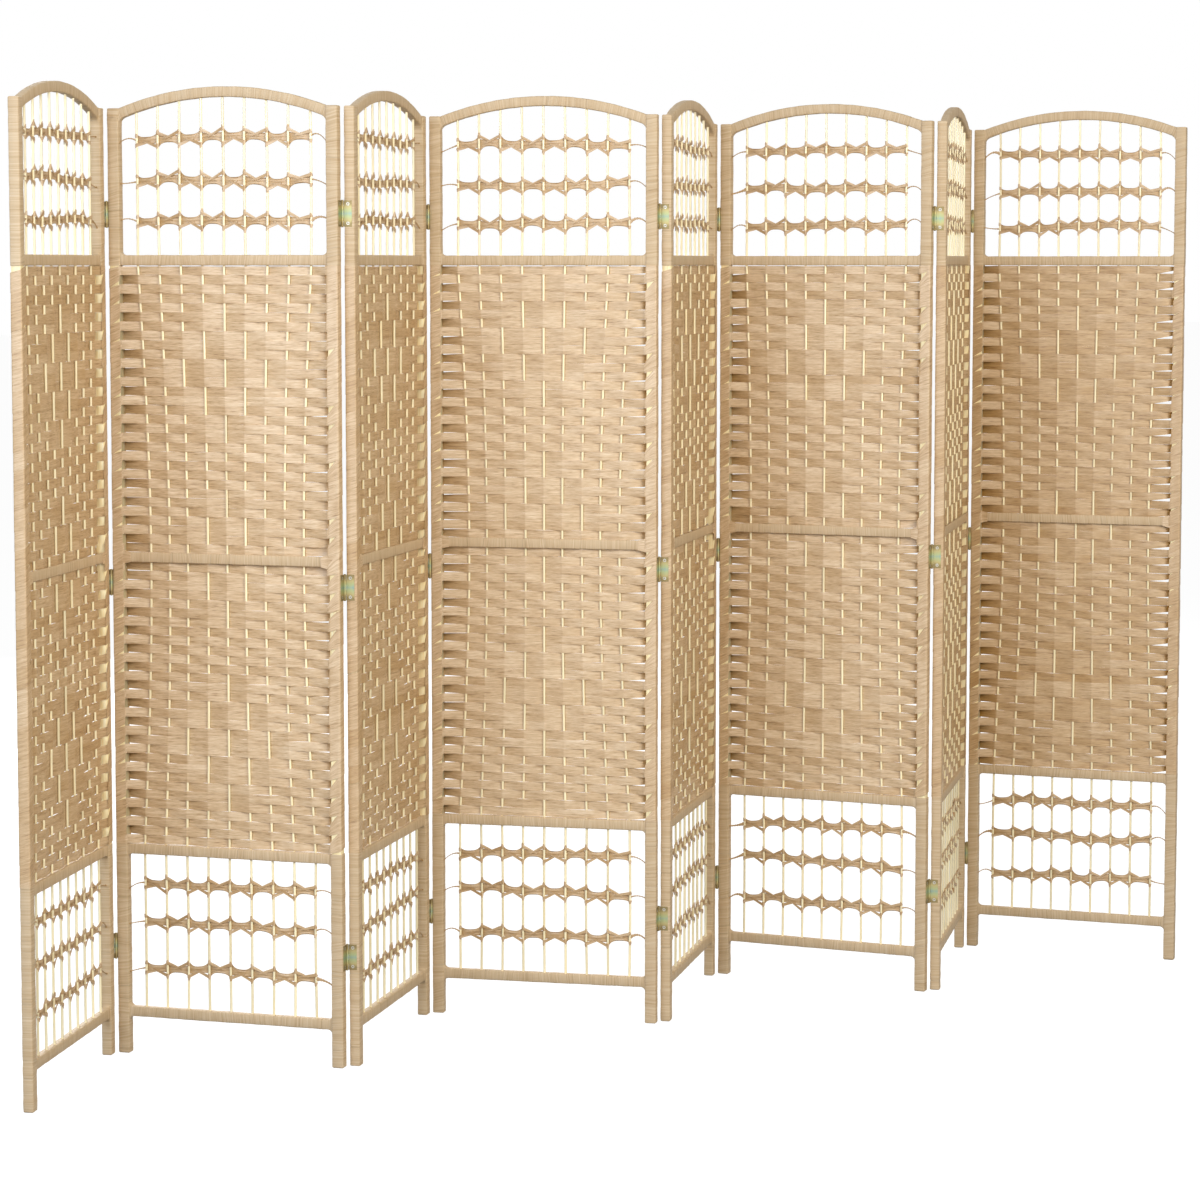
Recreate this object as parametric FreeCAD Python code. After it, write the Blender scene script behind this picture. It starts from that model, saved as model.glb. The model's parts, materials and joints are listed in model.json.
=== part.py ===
import FreeCAD, Part
import math
import os

os.makedirs("parts", exist_ok=True)
V = FreeCAD.Vector

# Panel and frame sizes, in millimetres
PANEL_COUNT = 8
PANEL_WIDTH = 446.0
POST_HEIGHT = 1748.0
POST_WIDTH = 21.0
POST_DEPTH = 20.0
POST_CORNER_RADIUS = 3.0
ARCH_RISE = 37.0
RAIL_HEIGHT = 19.5
RAIL_DEPTH = 16.0
RAIL_EDGE_RADIUS = 3.0
LEG_HEIGHT = 69.5
LOWER_LATTICE_HEIGHT = 287.0
UPPER_LATTICE_HEIGHT = 245.0

# Rail joints
TENON_LENGTH = 9.0
TENON_SHARE = 0.5
TENON_CLEARANCE = 0.1

# Rods
ROD_COUNT = 9
ROD_DIAMETER = 4.7
ROD_END_GAP = 32.8
ROD_SEAT_DEPTH = 8.0
ROD_CLEARANCE = 0.1

# Weave and tied bands
ROW_COUNT = 63
STRIP_THICKNESS = 1.0
STRIP_ROD_GAP = 0.25
STRIP_POST_GAP = 0.15
STRIP_EDGE_INSET = 3.0
WEAVE_END_GAP = 0.3
MIDDLE_RAIL_GAP = 0.3
MIDDLE_RAIL_SET_BACK = 0.5
BAND_KNOT_HEIGHT = 32.0
BAND_WAIST_HEIGHT = 12.0
BAND_THREAD_HEIGHT = 3.0
BAND_KNOT_REACH = 12.0
BAND_POST_GAP = 0.2
UPPER_BAND_SHARES = (0.25, 0.545, 0.86)
LOWER_BAND_SHARES = (0.26, 0.555, 0.81)

# Woven figure: rods left uncovered in the rows about each diamond's centre row
FIGURE_PERIOD = 20
FIGURE_RODS = {0: (3, 5, 7), 3: (1, 4, 6, 9), 6: (2, 5, 8)}
FIRST_CENTRE_ROWS = (12, 12, 11, 9, 10, 12, 11, 13)

# Hinges
HINGE_LENGTH = 47.0
HINGE_HEIGHT_SHARES = (0.116, 0.5045, 0.89)
HINGE_GAP = 3.0
PIVOT_REACH = 2.8
LEAF_THICKNESS = 1.2
LEAF_COVER = 15.0
KNUCKLE_COUNT = 5
KNUCKLE_DIAMETER = 4.8
KNUCKLE_GAP = 0.3
PIN_DIAMETER = 2.4
PIN_CLEARANCE = 0.05
PIN_HEAD_DIAMETER = 3.8
PIN_HEAD_HEIGHT = 1.0
PIN_END_GAP = 0.1
SCREW_SPACING = 34.6
SCREW_HEAD_DIAMETER = 6.4
SCREW_SHANK_DIAMETER = 3.0
SCREW_LENGTH = 10.0
SCREW_CLEARANCE = 0.05

# Stance: heading of the first panel and the turn at each fold, in degrees
FIRST_HEADING = 50.25
FOLD_TURNS = (-96.4, 92.6, -88.7, 89.2, -99.7, 100.3, -97.1)

# Room that every cut runs past its face
OVERRUN = 5.0

# Heights and spans that follow from the sizes above
INNER_WIDTH = PANEL_WIDTH - 2 * POST_WIDTH
ARCH_RADIUS = (INNER_WIDTH ** 2 / 4 + ARCH_RISE ** 2) / (2 * ARCH_RISE)
ARCH_INNER_RADIUS = ARCH_RADIUS - RAIL_HEIGHT
ARCH_CENTRE_Z = POST_HEIGHT + ARCH_RISE - ARCH_RADIUS
BOTTOM_RAIL_Z = LEG_HEIGHT
LOWER_RAIL_Z = BOTTOM_RAIL_Z + RAIL_HEIGHT + LOWER_LATTICE_HEIGHT


def arch_underside(x):
    """Height of the arch's lower face above the floor, at x along the panel."""
    off_centre = x - PANEL_WIDTH / 2
    return ARCH_CENTRE_Z + math.sqrt(ARCH_INNER_RADIUS ** 2 - off_centre ** 2)


ARCH_SPRING_Z = arch_underside(POST_WIDTH)
UPPER_RAIL_Z = ARCH_SPRING_Z - UPPER_LATTICE_HEIGHT - RAIL_HEIGHT
WEAVE_BOTTOM = LOWER_RAIL_Z + RAIL_HEIGHT + WEAVE_END_GAP
WEAVE_TOP = UPPER_RAIL_Z - WEAVE_END_GAP
ROW_PITCH = (WEAVE_TOP - WEAVE_BOTTOM) / ROW_COUNT
MIDDLE_RAIL_Z = (WEAVE_BOTTOM + WEAVE_TOP - RAIL_HEIGHT) / 2
ROD_PITCH = (INNER_WIDTH - 2 * ROD_END_GAP) / (ROD_COUNT - 1)
ROD_PLACES = [POST_WIDTH + ROD_END_GAP + ROD_PITCH * i for i in range(ROD_COUNT)]
ROD_HOLE_RADIUS = ROD_DIAMETER / 2 + ROD_CLEARANCE
PIVOT_Y = POST_DEPTH / 2 + PIVOT_REACH

# Middle of the strip in front of a rod, in front of a post, and the batten's place before it
STRIP_SLOPE = math.atan2(ROD_DIAMETER + STRIP_THICKNESS, ROD_PITCH)
STRIP_AT_ROD = (ROD_DIAMETER / 2 + STRIP_ROD_GAP) / math.cos(STRIP_SLOPE) + STRIP_THICKNESS / 2
STRIP_AT_POST = POST_DEPTH / 2 - STRIP_THICKNESS / 2
POST_RECESS = STRIP_THICKNESS + STRIP_POST_GAP
MIDDLE_RAIL_FRONT = -POST_DEPTH / 2 + MIDDLE_RAIL_SET_BACK
MIDDLE_RAIL_BACK = -STRIP_AT_ROD - STRIP_THICKNESS / 2 - MIDDLE_RAIL_GAP


def box_between(low, high):
    """A box from its lowest to its highest corner."""
    size = high - low
    return Part.makeBox(size.x, size.y, size.z, low)


def round_edges(solid, along, radius):
    """Rounds the straight edges of a bar that run along one direction."""
    edges = [e for e in solid.Edges if abs(e.tangentAt(e.FirstParameter).dot(along)) > 0.99]
    return solid.makeFillet(radius, edges)


def z_cylinder(radius, x, y, low, high):
    """An upright cylinder between two heights."""
    return Part.makeCylinder(radius, high - low, V(x, y, low))


def far_fold(fold):
    """True where the knuckles stand on the front faces: folds 1, 3, 5 and 7."""
    return fold % 2 == 1


def pivot_side(fold):
    """-1 where the pivot lies before the front faces, +1 where it lies behind the back faces."""
    return -1 if far_fold(fold) else 1


def hinge_heights():
    """Height of the middle of each hinge in a fold."""
    return [POST_HEIGHT * share for share in HINGE_HEIGHT_SHARES]


def screw_places(fold):
    """Offset across the post and height of each screw in a fold's leaves on one post."""
    across = pivot_side(fold) * (POST_DEPTH / 2 - LEAF_COVER / 2)
    return [(across, z + end * SCREW_SPACING / 2) for z in hinge_heights() for end in (-1, 1)]


def rail_ends(low_y, high_y, low_z, high_z, clearance):
    """The stub tenons at both ends of a rail, or, with clearance, the mortises that take them."""
    half_y = (high_y - low_y) * TENON_SHARE / 2 + clearance
    half_z = (high_z - low_z) * TENON_SHARE / 2 + clearance
    y, z = (low_y + high_y) / 2, (low_z + high_z) / 2
    ends = []
    for inner, outward in ((POST_WIDTH, -1), (PANEL_WIDTH - POST_WIDTH, 1)):
        tip = inner + outward * (TENON_LENGTH + clearance)
        ends.append(box_between(V(min(inner, tip), y - half_y, z - half_z),
                                V(max(inner, tip), y + half_y, z + half_z)))
    return ends


def rail_sections():
    """Depth and height limits of each rail where it meets the posts, by name."""
    half = RAIL_DEPTH / 2
    return {
        "bottom": (-half, half, BOTTOM_RAIL_Z, BOTTOM_RAIL_Z + RAIL_HEIGHT),
        "lower": (-half, half, LOWER_RAIL_Z, LOWER_RAIL_Z + RAIL_HEIGHT),
        "middle": (MIDDLE_RAIL_FRONT, MIDDLE_RAIL_BACK, MIDDLE_RAIL_Z, MIDDLE_RAIL_Z + RAIL_HEIGHT),
        "upper": (-half, half, UPPER_RAIL_Z, UPPER_RAIL_Z + RAIL_HEIGHT),
        "arch": (-half, half, ARCH_SPRING_Z, POST_HEIGHT),
    }


def post(outer_x, outward, fold):
    """A square post with rounded corners, recessed where the strip passes, with mortises and pilot holes."""
    low_x = min(outer_x, outer_x - outward * POST_WIDTH)
    half = POST_DEPTH / 2
    bar = box_between(V(low_x, -half, 0), V(low_x + POST_WIDTH, half, POST_HEIGHT))
    bar = round_edges(bar, V(0, 0, 1), POST_CORNER_RADIUS)
    cuts = []
    for face in (-1, 1):
        depths = sorted((face * (half - POST_RECESS), face * (half + OVERRUN)))
        cuts.append(box_between(V(low_x - OVERRUN, depths[0], WEAVE_BOTTOM),
                                V(low_x + POST_WIDTH + OVERRUN, depths[1], WEAVE_TOP)))
    for section in rail_sections().values():
        cuts.append(rail_ends(*section, TENON_CLEARANCE)[0 if outward < 0 else 1])
    if fold:
        radius = SCREW_SHANK_DIAMETER / 2 + SCREW_CLEARANCE
        for y, z in screw_places(fold):
            mouth = V(outer_x + outward * OVERRUN, y, z)
            depth = SCREW_LENGTH + SCREW_CLEARANCE + OVERRUN
            cuts.append(Part.makeCylinder(radius, depth, mouth, V(-outward, 0, 0)))
    return bar.cut(cuts)


def straight_rail(name):
    """A level rail between the posts with its long edges rounded and a stub tenon at each end."""
    low_y, high_y, low_z, high_z = rail_sections()[name]
    bar = box_between(V(POST_WIDTH, low_y, low_z), V(PANEL_WIDTH - POST_WIDTH, high_y, high_z))
    radius = min(RAIL_EDGE_RADIUS, (high_y - low_y) / 4)
    bar = round_edges(bar, V(1, 0, 0), radius)
    return bar.fuse(rail_ends(low_y, high_y, low_z, high_z, 0))


def arch_rail():
    """The top rail: a rounded bar bent to a circular arc that springs from the posts' top corners."""
    low_y, high_y, low_z, high_z = rail_sections()["arch"]
    middle = PANEL_WIDTH / 2
    inner_z, outer_z = ARCH_CENTRE_Z + ARCH_INNER_RADIUS, ARCH_CENTRE_Z + ARCH_RADIUS
    corners = [V(middle, low_y, inner_z), V(middle, high_y, inner_z),
               V(middle, high_y, outer_z), V(middle, low_y, outer_z)]
    section = Part.Face(Part.makePolygon(corners + corners[:1]))
    centre, along = V(middle, 0, ARCH_CENTRE_Z), V(0, 1, 0)
    half_angle = math.degrees(math.asin(INNER_WIDTH / 2 / ARCH_INNER_RADIUS))
    section.rotate(centre, along, -half_angle)
    bar = section.revolve(centre, along, 2 * half_angle)
    bar = bar.makeFillet(RAIL_EDGE_RADIUS, [e for e in bar.Edges if isinstance(e.Curve, Part.Circle)])
    span = box_between(V(POST_WIDTH, low_y - OVERRUN, low_z - OVERRUN),
                       V(PANEL_WIDTH - POST_WIDTH, high_y + OVERRUN, outer_z + OVERRUN))
    return bar.common(span).fuse(rail_ends(low_y, high_y, low_z, high_z, 0))


def rod_span(x):
    """Lowest and highest point of the rod at x, seated in the bottom rail and in the arch."""
    return BOTTOM_RAIL_Z + RAIL_HEIGHT - ROD_SEAT_DEPTH, arch_underside(x) + ROD_SEAT_DEPTH


def panel_rails():
    """The five rails of a panel, drilled for the rods where these enter or pass through."""
    rails = {name: straight_rail(name) for name in ("bottom", "lower", "middle", "upper")}
    rails["arch"] = arch_rail()
    for name in ("bottom", "lower", "upper", "arch"):
        holes = []
        for x in ROD_PLACES:
            low, high = rod_span(x)
            holes.append(z_cylinder(ROD_HOLE_RADIUS, x, 0, low - ROD_CLEARANCE, high + ROD_CLEARANCE))
        rails[name] = rails[name].cut(holes)
    return Part.makeCompound(list(rails.values()))


def panel_rods():
    """The nine round rods of a panel."""
    return Part.makeCompound([z_cylinder(ROD_DIAMETER / 2, x, 0, *rod_span(x)) for x in ROD_PLACES])


def bare_rods(row, first_centre):
    """Numbers of the rods that a row leaves uncovered, by its distance from the nearest diamond."""
    half = FIGURE_PERIOD // 2
    step = abs((row - first_centre + half) % FIGURE_PERIOD - half)
    return FIGURE_RODS.get(step, range(1 + (step + 1) % 2, ROD_COUNT + 1, 2))


def strip_row(row, first_centre):
    """One row of strip: a plan line that passes before or behind each rod and each post."""
    top = WEAVE_TOP - (row - 1) * ROW_PITCH
    bottom = top - ROW_PITCH
    bare = bare_rods(row, first_centre)
    beside_batten = bottom < MIDDLE_RAIL_Z + RAIL_HEIGHT and top > MIDDLE_RAIL_Z
    before_posts = (row - first_centre) % 2 == 1 and not beside_batten
    end_y = -STRIP_AT_POST if before_posts else STRIP_AT_POST
    line = [(STRIP_EDGE_INSET, end_y), (POST_WIDTH, end_y)]
    for number, x in enumerate(ROD_PLACES, 1):
        line.append((x, STRIP_AT_ROD if number in bare else -STRIP_AT_ROD))
    line += [(PANEL_WIDTH - POST_WIDTH, end_y), (PANEL_WIDTH - STRIP_EDGE_INSET, end_y)]
    half = STRIP_THICKNESS / 2
    front = [V(x, y - half, bottom) for x, y in line]
    back = [V(x, y + half, bottom) for x, y in reversed(line)]
    return Part.Face(Part.makePolygon(front + back + front[:1])).extrude(V(0, 0, ROW_PITCH))


def weave(first_centre):
    """The whole weave of a panel: its rows, joined where one row bears on the next."""
    rows = [strip_row(row, first_centre) for row in range(1, ROW_COUNT + 1)]
    return rows[0].multiFuse(rows[1:])


def tied_band(z):
    """A band tied behind the rods: wide at each rod, waisted between rods, a thread at each post."""
    knot, waist, thread = BAND_KNOT_HEIGHT / 2, BAND_WAIST_HEIGHT / 2, BAND_THREAD_HEIGHT / 2
    first, last = ROD_PLACES[0], ROD_PLACES[-1]
    edge = [(POST_WIDTH + BAND_POST_GAP, thread), (first - BAND_KNOT_REACH, thread), (first, knot)]
    for x in ROD_PLACES[1:]:
        edge += [(x - ROD_PITCH / 2, waist), (x, knot)]
    edge += [(last + BAND_KNOT_REACH, thread), (PANEL_WIDTH - POST_WIDTH - BAND_POST_GAP, thread)]
    y = ROD_DIAMETER / 2 + STRIP_ROD_GAP
    upper = [V(x, y, z + rise) for x, rise in edge]
    lower = [V(x, y, z - rise) for x, rise in reversed(edge)]
    return Part.Face(Part.makePolygon(upper + lower + upper[:1])).extrude(V(0, STRIP_THICKNESS, 0))


def panel_bands():
    """The tied bands of both lattices."""
    upper_foot, lower_foot = UPPER_RAIL_Z + RAIL_HEIGHT, BOTTOM_RAIL_Z + RAIL_HEIGHT
    heights = [upper_foot + UPPER_LATTICE_HEIGHT * share for share in UPPER_BAND_SHARES]
    heights += [lower_foot + LOWER_LATTICE_HEIGHT * share for share in LOWER_BAND_SHARES]
    return [tied_band(z) for z in heights]


def hinge_leaf(outer_x, outward, fold, z):
    """A leaf on a post's outer face with its share of the knuckles; the left panel has the odd ones."""
    side = pivot_side(fold)
    pivot_x, pivot_y = outer_x + outward * HINGE_GAP / 2, side * PIVOT_Y
    inner_y = side * (POST_DEPTH / 2 - LEAF_COVER)
    low_z, step = z - HINGE_LENGTH / 2, HINGE_LENGTH / KNUCKLE_COUNT
    faces = sorted((outer_x, outer_x + outward * LEAF_THICKNESS))
    depths = sorted((pivot_y, inner_y))
    leaf = box_between(V(faces[0], depths[0], low_z), V(faces[1], depths[1], low_z + HINGE_LENGTH))
    own, others = [], []
    for number in range(KNUCKLE_COUNT):
        foot = low_z + number * step
        if (number % 2 == 0) == (outward > 0):
            own.append(z_cylinder(KNUCKLE_DIAMETER / 2, pivot_x, pivot_y,
                                  foot + KNUCKLE_GAP / 2, foot + step - KNUCKLE_GAP / 2))
        else:
            others.append(z_cylinder(KNUCKLE_DIAMETER / 2 + KNUCKLE_GAP, pivot_x, pivot_y,
                                     foot - KNUCKLE_GAP / 2, foot + step + KNUCKLE_GAP / 2))
    leaf = leaf.cut(others).fuse(own)
    holes = [z_cylinder(PIN_DIAMETER / 2 + PIN_CLEARANCE, pivot_x, pivot_y,
                        low_z - OVERRUN, low_z + HINGE_LENGTH + OVERRUN)]
    for y, screw_z in screw_places(fold):
        if abs(screw_z - z) < HINGE_LENGTH:
            holes.append(screw_head(outer_x, outward, y, screw_z, SCREW_CLEARANCE))
    return leaf.cut(holes)


def screw_head(outer_x, outward, y, z, clearance):
    """The cone of a countersunk head as deep as the leaf, or, with clearance, its seat."""
    return Part.makeCone(SCREW_SHANK_DIAMETER / 2 + clearance, SCREW_HEAD_DIAMETER / 2 + clearance,
                         LEAF_THICKNESS, V(outer_x, y, z), V(outward, 0, 0))


def hinge_screw(outer_x, outward, y, z):
    """A countersunk screw through a leaf into its post."""
    shank = Part.makeCylinder(SCREW_SHANK_DIAMETER / 2, SCREW_LENGTH, V(outer_x, y, z), V(-outward, 0, 0))
    return shank.fuse(screw_head(outer_x, outward, y, z, 0))


def hinge_pin(fold, z):
    """A pin with a head at each end, through the knuckles of one hinge."""
    x, y = PANEL_WIDTH + HINGE_GAP / 2, pivot_side(fold) * PIVOT_Y
    low, high = z - HINGE_LENGTH / 2 - PIN_END_GAP, z + HINGE_LENGTH / 2 + PIN_END_GAP
    shank = z_cylinder(PIN_DIAMETER / 2, x, y, low, high)
    heads = [z_cylinder(PIN_HEAD_DIAMETER / 2, x, y, low - PIN_HEAD_HEIGHT, low),
             z_cylinder(PIN_HEAD_DIAMETER / 2, x, y, high, high + PIN_HEAD_HEIGHT)]
    return shank.fuse(heads)


def panel_sides(number):
    """Outer face, outward direction and fold of the panel's hinged sides."""
    sides = [(0, -1, number - 1), (PANEL_WIDTH, 1, number)]
    return [side for side in sides if 0 < side[2] < PANEL_COUNT]


def hinge_leaves(number):
    """All hinge leaves of one panel."""
    return Part.makeCompound([hinge_leaf(*side, z) for side in panel_sides(number)
                              for z in hinge_heights()])


def hinge_fasteners(number):
    """All hinge screws of one panel and the pins of the fold on its right."""
    pieces = []
    for outer_x, outward, fold in panel_sides(number):
        pieces += [hinge_screw(outer_x, outward, y, z) for y, z in screw_places(fold)]
        if outward > 0:
            pieces += [hinge_pin(fold, z) for z in hinge_heights()]
    return Part.makeCompound(pieces)


def panel_placements():
    """Where each panel stands: a heading about the upright, turned at each fold about its pivot."""
    heading, corner, placements = FIRST_HEADING, V(0, 0, 0), []
    for fold in range(1, PANEL_COUNT + 1):
        turn = FreeCAD.Rotation(V(0, 0, 1), heading)
        placements.append(FreeCAD.Placement(corner, turn))
        if fold < PANEL_COUNT:
            y = pivot_side(fold) * PIVOT_Y
            pivot = placements[-1].multVec(V(PANEL_WIDTH + HINGE_GAP / 2, y, 0))
            heading += FOLD_TURNS[fold - 1]
            next_turn = FreeCAD.Rotation(V(0, 0, 1), heading)
            corner = pivot - next_turn.multVec(V(-HINGE_GAP / 2, y, 0))
    return placements


def floor_centre(shapes):
    """Middle of the floor area that the posts cover, which is the part's origin."""
    box = Part.makeCompound(shapes).optimalBoundingBox(False, False)
    return V(box.Center.x, box.Center.y, 0)


# Pieces that every panel shares, and each panel's own pieces, in the panel's own frame
rails, rods, bands = panel_rails(), panel_rods(), panel_bands()
weaves = {centre: weave(centre) for centre in sorted(set(FIRST_CENTRE_ROWS))}
nodes = {}
for number, placement in enumerate(panel_placements(), 1):
    left_fold, right_fold = number - 1, number if number < PANEL_COUNT else 0
    pieces = {
        "left_post": post(0, -1, left_fold),
        "right_post": post(PANEL_WIDTH, 1, right_fold),
        "rails": rails,
        "rods": rods,
        "weave": Part.makeCompound([weaves[FIRST_CENTRE_ROWS[number - 1]]] + bands),
        "hinge_leaves": hinge_leaves(number),
        "hinge_fasteners": hinge_fasteners(number),
    }
    for name, shape in pieces.items():
        placed = shape.copy()
        placed.Placement = placement.multiply(placed.Placement)
        nodes[f"panel_{number}_{name}"] = placed

# The origin moves to the middle of the floor area, and each node is written to its own file
origin = floor_centre([shape for name, shape in nodes.items() if name.endswith("post")])
for name, shape in nodes.items():
    shape.translate(-origin)
    shape.exportStep(f"parts/{name}.step")

for fold, placement in enumerate(panel_placements()[:-1], 1):
    pivot = placement.multVec(V(PANEL_WIDTH + HINGE_GAP / 2, pivot_side(fold) * PIVOT_Y, 0)) - origin
    print(f"fold {fold}: axis at x {pivot.x:.4f} y {pivot.y:.4f}, turn {FOLD_TURNS[fold - 1]}")
print(f"row pitch {ROW_PITCH:.3f}, rod pitch {ROD_PITCH:.3f}, solids {sum(len(s.Solids) for s in nodes.values())}")
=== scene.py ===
# %% [markdown]
# # A woven folding screen
# Eight alike panels stand in a zigzag on hinges. Each has two posts and five rails wound with paper cord,
# nine thin rods, a weave of flat paper strip and six tied bands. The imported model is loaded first,
# because every size and place below is taken from it or fits it.

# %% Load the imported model
import json
import math

import bpy
import numpy as np
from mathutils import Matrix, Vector


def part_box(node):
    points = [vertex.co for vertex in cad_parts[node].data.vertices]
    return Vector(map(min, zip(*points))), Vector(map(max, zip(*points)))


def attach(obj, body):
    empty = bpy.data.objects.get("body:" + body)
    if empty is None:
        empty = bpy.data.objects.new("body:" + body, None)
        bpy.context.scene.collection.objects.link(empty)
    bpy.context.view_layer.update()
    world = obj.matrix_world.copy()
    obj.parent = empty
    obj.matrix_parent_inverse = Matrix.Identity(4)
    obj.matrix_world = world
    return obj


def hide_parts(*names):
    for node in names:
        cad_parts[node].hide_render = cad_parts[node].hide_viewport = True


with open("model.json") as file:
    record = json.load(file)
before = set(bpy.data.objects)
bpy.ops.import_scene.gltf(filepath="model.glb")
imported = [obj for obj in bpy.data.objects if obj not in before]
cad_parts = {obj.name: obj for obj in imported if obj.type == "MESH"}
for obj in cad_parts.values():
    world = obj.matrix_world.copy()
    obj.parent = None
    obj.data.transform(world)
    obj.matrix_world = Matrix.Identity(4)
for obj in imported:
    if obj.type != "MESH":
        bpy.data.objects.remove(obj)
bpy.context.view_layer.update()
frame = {"nodes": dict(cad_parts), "record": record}

# %% [markdown]
# ## Where each panel stands
# Every panel is worked out flat, in its own frame: x runs from its left edge, y is its depth with the front
# at minus, and z is up. The hinge axes in the record say where each panel stands. Placed vertices could be
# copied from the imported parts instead, but a frame per panel lets eight panels share one set of formulas.

# %% Panel frames from the hinge axes
PANEL_COUNT = 8
PANEL_WIDTH = 0.446
POST_DEPTH = 0.020
HINGE_GAP = 0.003
PIVOT_REACH = 0.0028
PIVOT_Y = POST_DEPTH / 2 + PIVOT_REACH

folds = frame["record"]["behaviour"]["joints"]
pivots = np.array([fold["pos_m"][:2] for fold in folds])
pivot_sides = np.array([fold["axis"][2] for fold in folds])
fold_turns = np.array([-fold["axis"][2] * math.radians(fold["range_deg"][0]) for fold in folds])

second_span = pivots[1] - pivots[0]
second_heading = math.atan2(second_span[1], second_span[0]) - math.atan2(2 * PIVOT_Y, PANEL_WIDTH + HINGE_GAP)
headings = second_heading - fold_turns[0] + np.concatenate([[0], np.cumsum(fold_turns)])


def turned(points, heading):
    """Plan points turned by a heading: (x cos h - y sin h, x sin h + y cos h)."""
    x, y = points[..., 0], points[..., 1]
    cos, sin = math.cos(heading), math.sin(heading)
    return np.stack([x * cos - y * sin, x * sin + y * cos], -1)


def panel_corner(panel):
    """The panel's left end: its pivot less the pivot's place within the panel, turned to the heading."""
    fold = max(panel - 1, 0)
    place_x = -HINGE_GAP / 2 if panel else PANEL_WIDTH + HINGE_GAP / 2
    return pivots[fold] - turned(np.array([place_x, pivot_sides[fold] * PIVOT_Y]), headings[panel])


corners = [panel_corner(panel) for panel in range(PANEL_COUNT)]
print("headings", np.degrees(headings).round(2))

# %% [markdown]
# ## Sizes that the pieces share
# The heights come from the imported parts' boxes: the posts' top, the arch's top and the bottom rail's foot.
# The weave fills what is left between the two lattices, so its row pitch follows from them.

# %% Sizes, in metres
POST_WIDTH = 0.021
POST_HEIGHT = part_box("panel_1_left_post")[1][2]
ARCH_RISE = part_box("panel_1_rails")[1][2] - POST_HEIGHT
LEG_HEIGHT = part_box("panel_1_rails")[0][2]
RAIL_HEIGHT = 0.0195
RAIL_DEPTH = 0.016
LOWER_LATTICE = 0.287
UPPER_LATTICE = 0.245
ROW_COUNT = 63
ROD_COUNT = 9
ROD_RADIUS = 0.00235
ROD_END_GAP = 0.0328
STRIP_AT_ROD = 0.0031
STRIP_AT_POST = 0.0090
STRIP_BEHIND_POST = 0.0095
STRIP_THICKNESS = 0.0006

RIGHT_EDGE = PANEL_WIDTH - POST_WIDTH
INNER_WIDTH = RIGHT_EDGE - POST_WIDTH
ARCH_RADIUS = (INNER_WIDTH ** 2 / 4 + ARCH_RISE ** 2) / (2 * ARCH_RISE)
ARCH_CENTRE_Z = POST_HEIGHT + ARCH_RISE - ARCH_RADIUS


def arch_underside(x):
    """Height of the arch's lower face: centre height + square root of (inner radius^2 - (x - middle)^2)."""
    return ARCH_CENTRE_Z + np.sqrt((ARCH_RADIUS - RAIL_HEIGHT) ** 2 - (x - PANEL_WIDTH / 2) ** 2)


LOWER_RAIL_Z = LEG_HEIGHT + RAIL_HEIGHT + LOWER_LATTICE
UPPER_RAIL_Z = arch_underside(POST_WIDTH) - UPPER_LATTICE - RAIL_HEIGHT
WEAVE_BOTTOM = LOWER_RAIL_Z + RAIL_HEIGHT
WEAVE_TOP = UPPER_RAIL_Z
ROW_PITCH = (WEAVE_TOP - WEAVE_BOTTOM) / ROW_COUNT
MIDDLE_RAIL_Z = (WEAVE_BOTTOM + WEAVE_TOP - RAIL_HEIGHT) / 2
ROD_PLACES = np.linspace(POST_WIDTH + ROD_END_GAP, RIGHT_EDGE - ROD_END_GAP, ROD_COUNT)
print("row pitch", round(ROW_PITCH, 5), "weave", round(WEAVE_BOTTOM, 4), round(WEAVE_TOP, 4))

# %% [markdown]
# ## Turning grids of points into meshes
# Every new piece is a stack of grids: a closed ring of points carried along a line, many lines at once. Whole
# arrays go into the mesh in one call each, far quicker than faces one by one. Each vertex has a tone, which
# makes the finish lighter or darker there, and each face corner has a place on the grain map: metres along the
# piece and across it.

# %% Surfaces and meshes
SHARP_ANGLE = math.radians(55)


def wander(rng, copies, length, knots):
    """Smooth random lines from -1 to 1: values at even knots, eased from one to the next by 3f^2 - 2f^3."""
    values = rng.uniform(-1, 1, (copies, knots + 2))
    place = np.linspace(0, knots, length)
    left = np.floor(place).astype(int)
    part = place - left
    ease = part * part * (3 - 2 * part)
    return values[:, left] * (1 - ease) + values[:, left + 1] * ease


def ease_between(low, high, value):
    """0 below low, 1 above high, and 3f^2 - 2f^3 between."""
    part = np.clip((value - low) / (high - low), 0, 1)
    return part * part * (3 - 2 * part)


def xyz(x, y, z):
    """Points from their three coordinates, spread to one shape."""
    return np.stack(np.broadcast_arrays(x, y, z), -1)


def circle(count):
    """Angles round a circle, the first one also closing it, and the same without the closing one."""
    angles = np.linspace(0, 2 * np.pi, count + 1)
    return angles, angles[:-1]


def quarter_round(distance, radius):
    """How far a quarter circle draws in at a distance from its end: r - square root of (r^2 - (r - d)^2)."""
    left = np.clip(radius - distance, 0, radius)
    return radius - np.sqrt(radius ** 2 - left ** 2)


def closed_ring(values):
    """The values of a ring's points, with the first one again at the end."""
    return np.append(values, values[0])


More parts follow.
